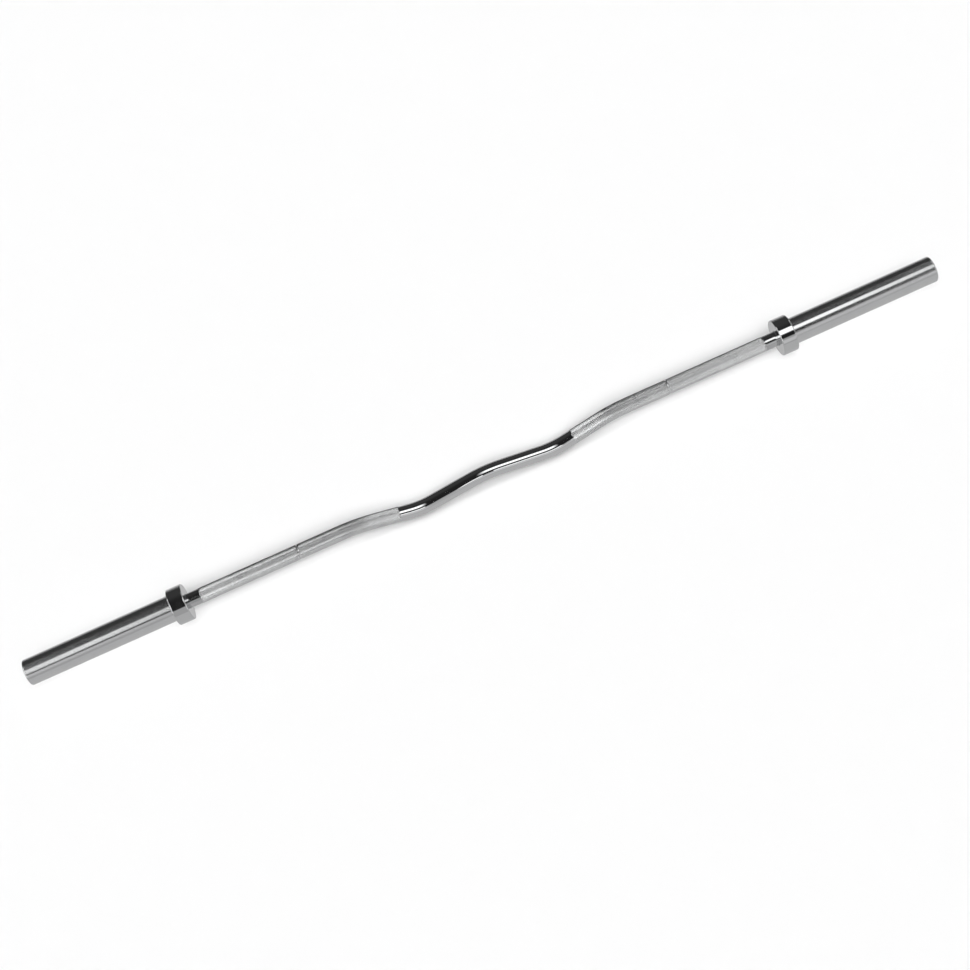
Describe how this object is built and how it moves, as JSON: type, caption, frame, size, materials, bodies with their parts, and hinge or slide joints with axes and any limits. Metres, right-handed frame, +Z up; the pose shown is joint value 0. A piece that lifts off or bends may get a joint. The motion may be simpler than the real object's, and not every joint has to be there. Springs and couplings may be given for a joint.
{
  "type": "curl bar",
  "caption": "Chromed curl bar: a shaft with a shallow W bend and knurled grips, carrying a wide-collared plate sleeve at each end that spins on bronze bushes.",
  "frame": {"origin": "on the floor under the middle of the bar, which lies on its collars and the valleys of its bend", "axes": "+X along the sleeves' axis towards the right sleeve, +Z up, the valleys of the bend lean towards -Y"},
  "size_m": [1.83, 0.07, 0.07],
  "materials": {
    "shaft_chrome": "polished, knurled on the grips",
    "sleeve_chrome": "fine turned",
    "collar_chrome": "polished",
    "bush_bronze": "machined",
    "washer_steel": "ground",
    "spring_steel": "phosphated",
    "cap_steel": "satin",
    "cap_rubber": "moulded"
  },
  "bodies": {
    "bar": {"shaft": "shaft_chrome", "left_inner_thrust_washer": "washer_steel", "left_outer_thrust_washer": "washer_steel", "left_shaft_circlip": "spring_steel", "right_inner_thrust_washer": "washer_steel", "right_outer_thrust_washer": "washer_steel", "right_shaft_circlip": "spring_steel"},
    "left_sleeve": {"left_sleeve_tube": "sleeve_chrome", "left_sleeve_collar": "collar_chrome", "left_inner_bushing": "bush_bronze", "left_outer_bushing": "bush_bronze", "left_end_cap": "cap_steel", "left_end_cap_o_ring": "cap_rubber", "left_sleeve_snap_ring": "spring_steel"},
    "right_sleeve": {"right_sleeve_tube": "sleeve_chrome", "right_sleeve_collar": "collar_chrome", "right_inner_bushing": "bush_bronze", "right_outer_bushing": "bush_bronze", "right_end_cap": "cap_steel", "right_end_cap_o_ring": "cap_rubber", "right_sleeve_snap_ring": "spring_steel"}
  },
  "joints": [
    {"name": "left_sleeve_spin", "type": "hinge", "parent": "bar", "child": "left_sleeve", "pos_m": [-0.76, 0, 0.035], "axis": [1, 0, 0], "continuous": true},
    {"name": "right_sleeve_spin", "type": "hinge", "parent": "bar", "child": "right_sleeve", "pos_m": [0.76, 0, 0.035], "axis": [1, 0, 0], "continuous": true}
  ]
}
